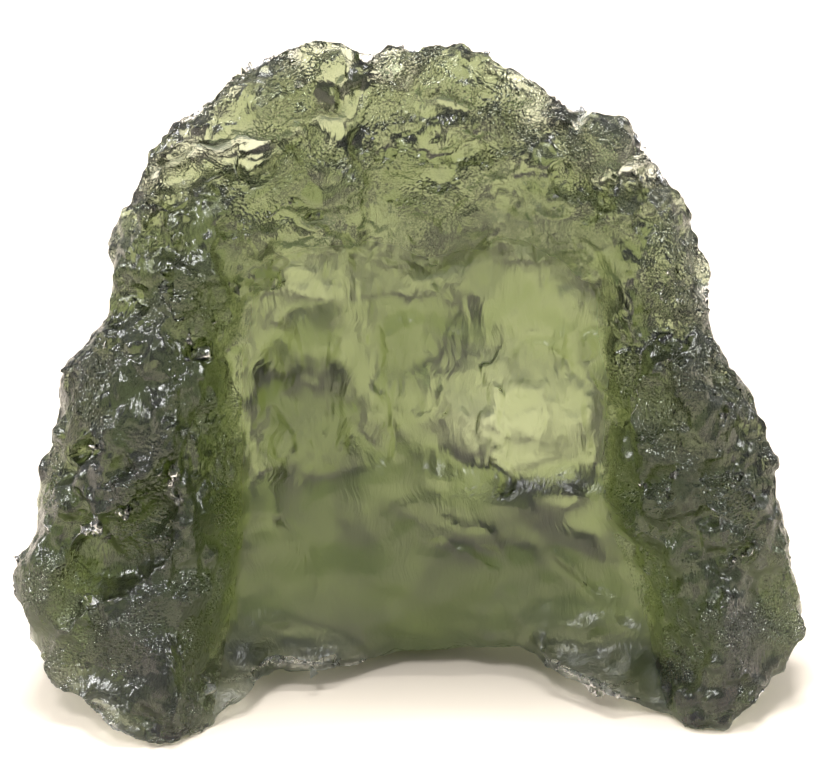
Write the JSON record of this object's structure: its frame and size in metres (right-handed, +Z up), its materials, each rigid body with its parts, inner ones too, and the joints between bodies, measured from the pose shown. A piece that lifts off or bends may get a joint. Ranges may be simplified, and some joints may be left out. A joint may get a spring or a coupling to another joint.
{
  "type": "moldavite",
  "caption": "Raw pitted green natural glass shaped like an alcove: two thick legs and a hood round a thinner web, resting on small flat spots.",
  "frame": {"origin": "middle of the stone's outline seen from above, at the level of the surface it rests on", "axes": "+Z up, +X across both legs to the right as seen from the open side, +Y from the open side to the back"},
  "size_m": [0.0314, 0.014, 0.0264],
  "materials": {
    "moldavite_glass": "natural etched surface, glossy in the pits and satin on the web"
  },
  "bodies": {
    "root": {"moldavite": "moldavite_glass"}
  },
  "joints": []
}
